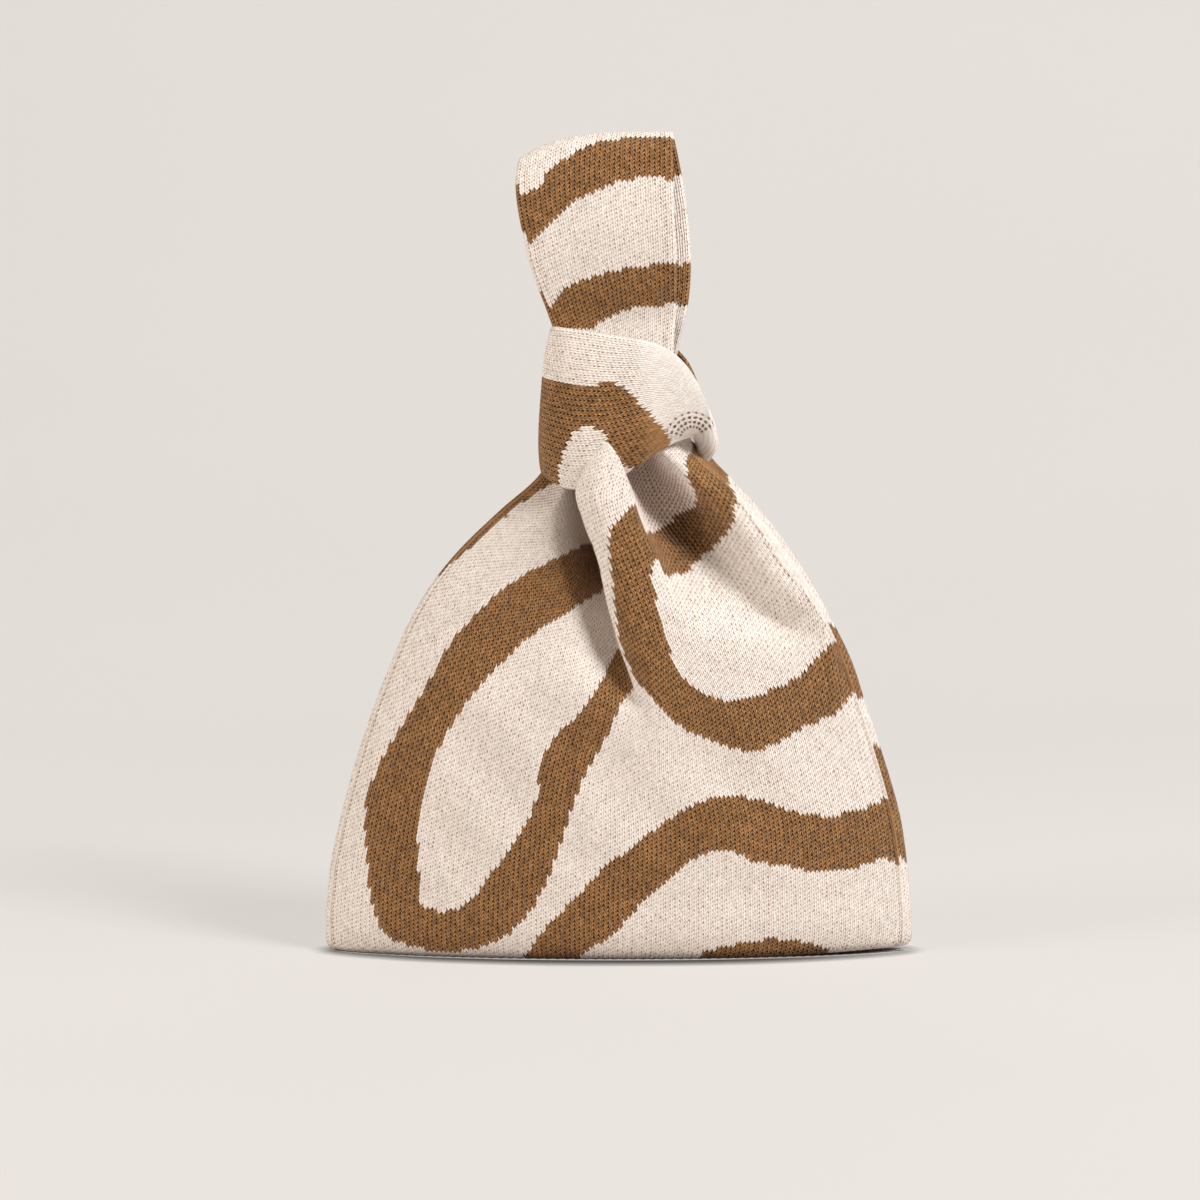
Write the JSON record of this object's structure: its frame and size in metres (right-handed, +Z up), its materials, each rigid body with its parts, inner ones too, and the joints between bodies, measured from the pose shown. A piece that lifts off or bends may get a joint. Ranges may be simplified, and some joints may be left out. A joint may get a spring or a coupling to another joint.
{
  "type": "japanese knot bag",
  "caption": "Soft knitted knot bag: a lens-based sack whose short side strap wraps like a band round the long strap, which stands above the knot as a wrist loop.",
  "frame": {"origin": "on the floor at the centre of the base", "axes": "+Z up through the wrist loop, front with the pleat towards -Y, long strap's side towards -X"},
  "size_m": [0.2521, 0.0671, 0.35],
  "materials": {
    "panel_knit": "matte two-colour jacquard knit, cream with brown wavy stripes",
    "strap_knit": "matte two-colour jacquard knit, brown and cream",
    "seam_yarn": "matte linked yarn"
  },
  "bodies": {
    "sack": {"base_panel": "panel_knit", "front_panel": "panel_knit", "back_panel": "panel_knit", "left_side_seam": "seam_yarn", "right_side_seam": "seam_yarn", "front_mouth_hem": "seam_yarn", "back_mouth_hem": "seam_yarn", "long_strap_root": "panel_knit", "short_strap_front": "strap_knit", "short_strap_back": "strap_knit", "short_strap_seam": "seam_yarn"},
    "long_strap": {"long_strap_front_leg": "strap_knit", "long_strap_back_leg": "strap_knit"},
    "wrist_loop": {"loop_front": "strap_knit", "loop_crown": "strap_knit", "loop_back": "strap_knit", "loop_left_edge": "seam_yarn", "loop_right_edge": "seam_yarn", "loop_crown_seam": "seam_yarn"}
  },
  "joints": [
    {"name": "handle_pull", "type": "slide", "parent": "sack", "child": "long_strap", "axis": [0, 0, 1], "range_m": [0, 0.025]},
    {"name": "loop_swing", "type": "hinge", "parent": "long_strap", "child": "wrist_loop", "pos_m": [0, 0, 0.271], "axis": [1, 0, 0], "range_deg": [-75, 75]}
  ]
}
